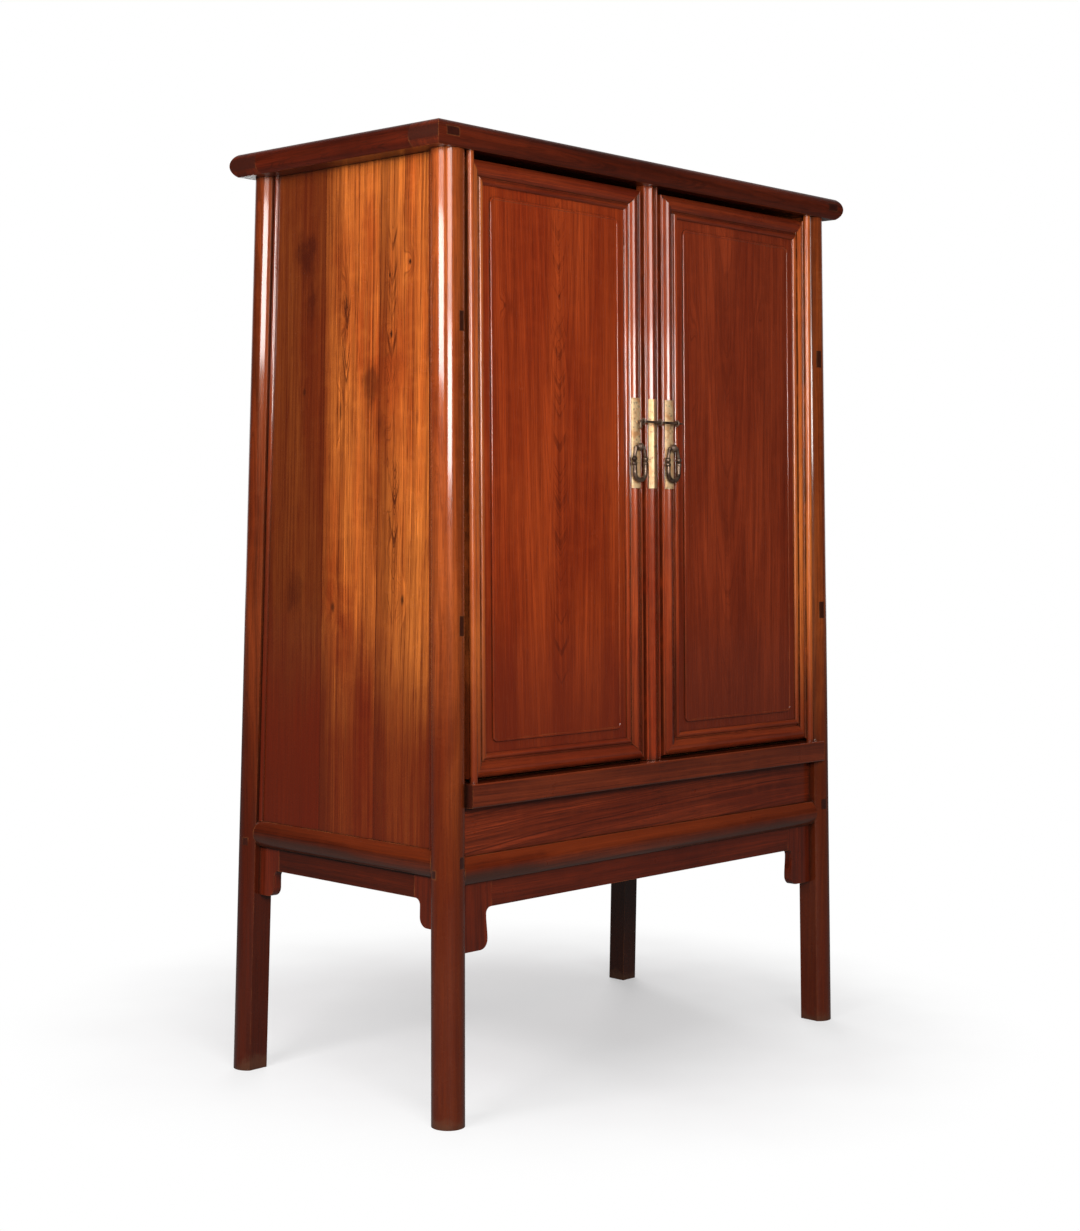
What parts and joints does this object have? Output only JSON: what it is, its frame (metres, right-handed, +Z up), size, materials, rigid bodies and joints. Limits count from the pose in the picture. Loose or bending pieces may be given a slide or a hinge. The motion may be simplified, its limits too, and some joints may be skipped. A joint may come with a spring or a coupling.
{
  "type": "tapered cabinet",
  "caption": "Tapered wooden cabinet with round-edged cap, splayed posts, pivot-hung panelled doors, removable centre post, hidden compartment and brass pin lock.",
  "frame": {"origin": "centre of the footprint on the floor", "axes": "+Z up, the doors face -Y, +X to the right of someone who faces the doors"},
  "size_m": [1.194, 0.614, 1.75],
  "materials": {
    "posts": "worn satin lacquer, reddish brown with rubbed grey-brown edges",
    "cap_frame": "dark reddish brown lacquer, worn edges",
    "rails": "dark reddish brown lacquer, rubbed lighter on the rounding",
    "aprons": "dark reddish brown lacquer",
    "side_boards": "orange brown satin lacquer over a lively grain with knots",
    "beads": "reddish brown lacquer",
    "door_frames": "deep red brown lacquer, rubbed to orange on the beads",
    "door_panels": "deep red brown satin lacquer",
    "centre_post": "deep red brown lacquer",
    "inner_wood": "bare aged softwood",
    "lock_plates": "aged pale brass with dark patina",
    "lock_pin": "darkened brass",
    "pulls": "darkened brass, rubbed on the beads"
  },
  "bodies": {
    "cabinet": {"post_front_left": "posts", "post_front_right": "posts", "post_rear_left": "posts", "post_rear_right": "posts", "cap_front_member": "cap_frame", "cap_rear_member": "cap_frame", "cap_left_member": "cap_frame", "cap_right_member": "cap_frame", "cap_boards": "inner_wood", "cap_battens": "inner_wood", "sill_rail": "rails", "compartment_panel": "aprons", "lower_front_rail": "rails", "front_apron": "aprons", "front_spandrels": "aprons", "side_boards_left": "side_boards", "side_boards_right": "side_boards", "side_beads_left": "beads", "side_beads_right": "beads", "lower_side_rail_left": "rails", "lower_side_rail_right": "rails", "middle_stretcher_left": "inner_wood", "middle_stretcher_right": "inner_wood", "upper_stretcher_left": "inner_wood", "upper_stretcher_right": "inner_wood", "side_apron_left": "aprons", "side_apron_right": "aprons", "side_spandrels_left": "aprons", "side_spandrels_right": "aprons", "lower_rear_rail": "rails", "rear_sill_rail": "inner_wood", "middle_rear_rail": "inner_wood", "rear_low_board": "inner_wood", "rear_boards": "inner_wood", "rear_apron": "aprons", "shelf_middle": "inner_wood", "shelf_upper": "inner_wood", "compartment_floor": "inner_wood", "floor_bearers": "inner_wood", "lid_bearers": "inner_wood"},
    "left_door": {"left_hinge_stile": "door_frames", "left_inner_stile": "door_frames", "left_door_rails": "door_frames", "left_door_panel": "door_panels", "left_door_battens": "inner_wood", "lock_plate_left": "lock_plates"},
    "right_door": {"right_hinge_stile": "door_frames", "right_inner_stile": "door_frames", "right_door_rails": "door_frames", "right_door_panel": "door_panels", "right_door_battens": "inner_wood", "lock_plate_right": "lock_plates"},
    "centre_post": {"centre_post": "centre_post", "lock_plate_centre": "lock_plates"},
    "lock_pin": {"lock_pin": "lock_pin"},
    "left_pull": {"pull_left": "pulls"},
    "right_pull": {"pull_right": "pulls"},
    "left_lid": {"lid_left": "inner_wood"},
    "right_lid": {"lid_right": "inner_wood"}
  },
  "joints": [
    {"name": "left_door_hinge", "type": "hinge", "parent": "cabinet", "child": "left_door", "pos_m": [-0.50043, -0.27275, 1.15046], "axis": [-0.004, -0.022, -0.9998], "range_deg": [0, 150]},
    {"name": "right_door_hinge", "type": "hinge", "parent": "cabinet", "child": "right_door", "pos_m": [0.50043, -0.27275, 1.15046], "axis": [-0.004, 0.022, 0.9998], "range_deg": [0, 150]},
    {"name": "left_pull_hinge", "type": "hinge", "parent": "left_door", "child": "left_pull", "pos_m": [-0.05, -0.27553, 1.20576], "axis": [-1, 0, 0], "range_deg": [0, 100]},
    {"name": "right_pull_hinge", "type": "hinge", "parent": "right_door", "child": "right_pull", "pos_m": [0.05, -0.27553, 1.20576], "axis": [-1, 0, 0], "range_deg": [0, 100]},
    {"name": "lock_pin_slide", "type": "slide", "parent": "cabinet", "child": "lock_pin", "axis": [-1, 0, 0], "range_m": [0, 0.13]},
    {"name": "centre_post_slide", "type": "slide", "parent": "cabinet", "child": "centre_post", "axis": [0, -1, 0], "range_m": [0, 0.42]},
    {"name": "left_lid_lift", "type": "slide", "parent": "cabinet", "child": "left_lid", "axis": [0, 0, 1], "range_m": [0, 0.15]},
    {"name": "right_lid_lift", "type": "slide", "parent": "cabinet", "child": "right_lid", "axis": [0, 0, 1], "range_m": [0, 0.15]}
  ]
}
